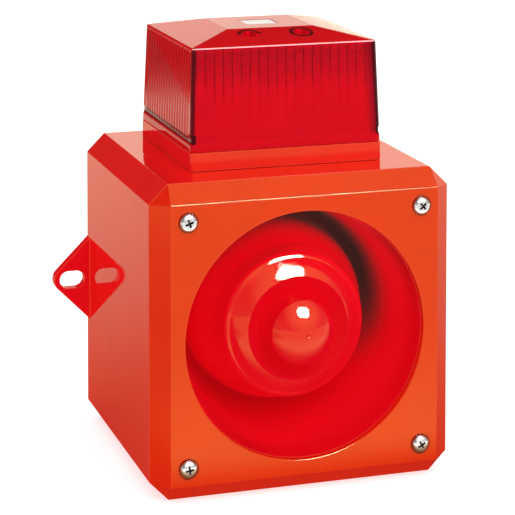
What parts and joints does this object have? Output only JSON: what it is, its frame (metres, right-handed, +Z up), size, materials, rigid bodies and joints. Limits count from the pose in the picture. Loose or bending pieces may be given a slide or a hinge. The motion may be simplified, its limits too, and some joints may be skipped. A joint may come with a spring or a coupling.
{
  "type": "alarm siren",
  "caption": "Wall-mounted electronic alarm siren: square body with a front horn and a flashing beacon on its roof, lift-off cover and lens.",
  "frame": {"origin": "centre of the rear mounting face, the plane that lies on the wall", "axes": "+X to the right seen from the front, +Y into the wall, +Z up; the horn faces -Y"},
  "size_m": [0.2004, 0.1435, 0.2283],
  "materials": {
    "housing_red": "glossy moulded red, even colour",
    "cover_red": "glossy moulded orange-red",
    "horn_red": "glossy moulded deep red",
    "lens_red": "polished transparent red",
    "screw_bright": "bright zinc plated",
    "screw_steel": "plain zinc plated",
    "seal_black": "matt black rubber",
    "driver_black": "matt black moulded",
    "film": "thin amber film",
    "steel_plate": "turned steel",
    "ferrite": "dark grey sintered ferrite",
    "board_green": "satin green solder resist",
    "terminal_grey": "satin grey moulded",
    "switch_blue": "satin blue moulded",
    "lever_white": "white moulded",
    "sleeve_black": "shrink sleeve",
    "transformer_iron": "varnished laminated iron",
    "lead_black": "insulated lead",
    "nylon_black": "satin black nylon",
    "label_white": "blank white glossy plate",
    "reflector": "gloss white reflector tray",
    "flash_glass": "clear glass flash tube",
    "coil_copper": "varnished copper winding"
  },
  "bodies": {
    "housing": {"beacon_base": "horn_red", "beacon_base_screw_front_left": "screw_steel", "beacon_base_screw_front_right": "screw_steel", "beacon_base_screw_rear_left": "screw_steel", "beacon_base_screw_rear_right": "screw_steel", "beacon_board": "board_green", "beacon_gasket": "seal_black", "beacon_lead": "lead_black", "beacon_reflector": "reflector", "board_screw_lower_left": "screw_steel", "board_screw_lower_right": "screw_steel", "board_screw_upper_left": "screw_steel", "board_screw_upper_right": "screw_steel", "cable_gland_body": "nylon_black", "cable_gland_locknut": "nylon_black", "cable_gland_seal": "seal_black", "cover_gasket": "seal_black", "driver_lead": "lead_black", "rear_housing": "housing_red", "smoothing_capacitor": "sleeve_black", "sounder_board": "board_green", "storage_capacitor": "sleeve_black", "terminal_block": "terminal_grey", "tone_switch_body": "switch_blue", "tone_transformer": "transformer_iron", "trigger_coil": "coil_copper", "volume_control_body": "switch_blue", "xenon_tube": "flash_glass"},
    "cover_assembly": {"front_cover": "cover_red", "horn_flare": "horn_red", "horn_plug": "horn_red", "horn_screw_upper_left": "screw_steel", "horn_screw_upper_right": "screw_steel", "horn_screw_lower_left": "screw_steel", "horn_screw_lower_right": "screw_steel", "driver_throat_plate": "driver_black", "driver_front_plate": "steel_plate", "driver_magnet": "ferrite", "driver_back_plate": "steel_plate", "driver_screw_top": "screw_steel", "driver_screw_left": "screw_steel", "driver_screw_right": "screw_steel"},
    "cover_screw_upper_left": {"cover_screw_upper_left": "screw_bright"},
    "cover_screw_upper_right": {"cover_screw_upper_right": "screw_bright"},
    "cover_screw_lower_left": {"cover_screw_lower_left": "screw_bright"},
    "cover_screw_lower_right": {"cover_screw_lower_right": "screw_bright"},
    "diaphragm": {"driver_diaphragm": "film"},
    "lens_assembly": {"beacon_lens": "lens_red", "roof_label_blank": "label_white"},
    "lens_screw_front_left": {"lens_screw_front_left": "screw_bright"},
    "lens_screw_front_right": {"lens_screw_front_right": "screw_bright"},
    "lens_screw_rear_left": {"lens_screw_rear_left": "screw_bright"},
    "lens_screw_rear_right": {"lens_screw_rear_right": "screw_bright"},
    "gland_nut": {"cable_gland_nut": "nylon_black"},
    "blanking_plug": {"blanking_plug": "housing_red"},
    "tone_switch_lever_1": {"tone_switch_lever_1": "lever_white"},
    "tone_switch_lever_2": {"tone_switch_lever_2": "lever_white"},
    "tone_switch_lever_3": {"tone_switch_lever_3": "lever_white"},
    "tone_switch_lever_4": {"tone_switch_lever_4": "lever_white"},
    "volume_rotor": {"volume_control_rotor": "lever_white"}
  },
  "joints": [
    {"name": "cover_lift_off", "type": "slide", "parent": "housing", "child": "cover_assembly", "axis": [0, -1, 0], "range_m": [0, 0.11]},
    {"name": "cover_screw_upper_left_turn", "type": "hinge", "parent": "cover_assembly", "child": "cover_screw_upper_left", "pos_m": [-0.0621, -0.1403, 0.0621], "axis": [0, -1, 0], "continuous": true},
    {"name": "cover_screw_upper_right_turn", "type": "hinge", "parent": "cover_assembly", "child": "cover_screw_upper_right", "pos_m": [0.0621, -0.1403, 0.0621], "axis": [0, -1, 0], "continuous": true},
    {"name": "cover_screw_lower_left_turn", "type": "hinge", "parent": "cover_assembly", "child": "cover_screw_lower_left", "pos_m": [-0.0621, -0.1403, -0.0621], "axis": [0, -1, 0], "continuous": true},
    {"name": "cover_screw_lower_right_turn", "type": "hinge", "parent": "cover_assembly", "child": "cover_screw_lower_right", "pos_m": [0.0621, -0.1403, -0.0621], "axis": [0, -1, 0], "continuous": true},
    {"name": "diaphragm_stroke", "type": "slide", "parent": "cover_assembly", "child": "diaphragm", "axis": [0, -1, 0], "range_m": [-0.0004, 0.0004]},
    {"name": "lens_lift_off", "type": "slide", "parent": "housing", "child": "lens_assembly", "axis": [0, 0, 1], "range_m": [0, 0.06]},
    {"name": "lens_screw_front_left_turn", "type": "hinge", "parent": "lens_assembly", "child": "lens_screw_front_left", "pos_m": [-0.0142, -0.091, 0.0935], "axis": [0, 0, 1], "continuous": true},
    {"name": "lens_screw_front_right_turn", "type": "hinge", "parent": "lens_assembly", "child": "lens_screw_front_right", "pos_m": [0.0142, -0.091, 0.0935], "axis": [0, 0, 1], "continuous": true},
    {"name": "lens_screw_rear_left_turn", "type": "hinge", "parent": "lens_assembly", "child": "lens_screw_rear_left", "pos_m": [-0.0142, -0.033, 0.0935], "axis": [0, 0, 1], "continuous": true},
    {"name": "lens_screw_rear_right_turn", "type": "hinge", "parent": "lens_assembly", "child": "lens_screw_rear_right", "pos_m": [0.0142, -0.033, 0.0935], "axis": [0, 0, 1], "continuous": true},
    {"name": "gland_nut_turn", "type": "hinge", "parent": "housing", "child": "gland_nut", "pos_m": [0.0855, -0.04, -0.042], "axis": [1, 0, 0], "continuous": true},
    {"name": "blanking_plug_turn", "type": "hinge", "parent": "housing", "child": "blanking_plug", "pos_m": [-0.03, -0.048, -0.08], "axis": [0, 0, 1], "continuous": true},
    {"name": "tone_switch_1", "type": "slide", "parent": "housing", "child": "tone_switch_lever_1", "axis": [0, 0, 1], "range_m": [0, 0.0012]},
    {"name": "tone_switch_2", "type": "slide", "parent": "housing", "child": "tone_switch_lever_2", "axis": [0, 0, 1], "range_m": [0, 0.0012]},
    {"name": "tone_switch_3", "type": "slide", "parent": "housing", "child": "tone_switch_lever_3", "axis": [0, 0, 1], "range_m": [0, 0.0012]},
    {"name": "tone_switch_4", "type": "slide", "parent": "housing", "child": "tone_switch_lever_4", "axis": [0, 0, 1], "range_m": [0, 0.0012]},
    {"name": "volume_control", "type": "hinge", "parent": "housing", "child": "volume_rotor", "pos_m": [0.022, -0.0218, 0.0465], "axis": [0, -1, 0], "range_deg": [-135, 135]}
  ]
}
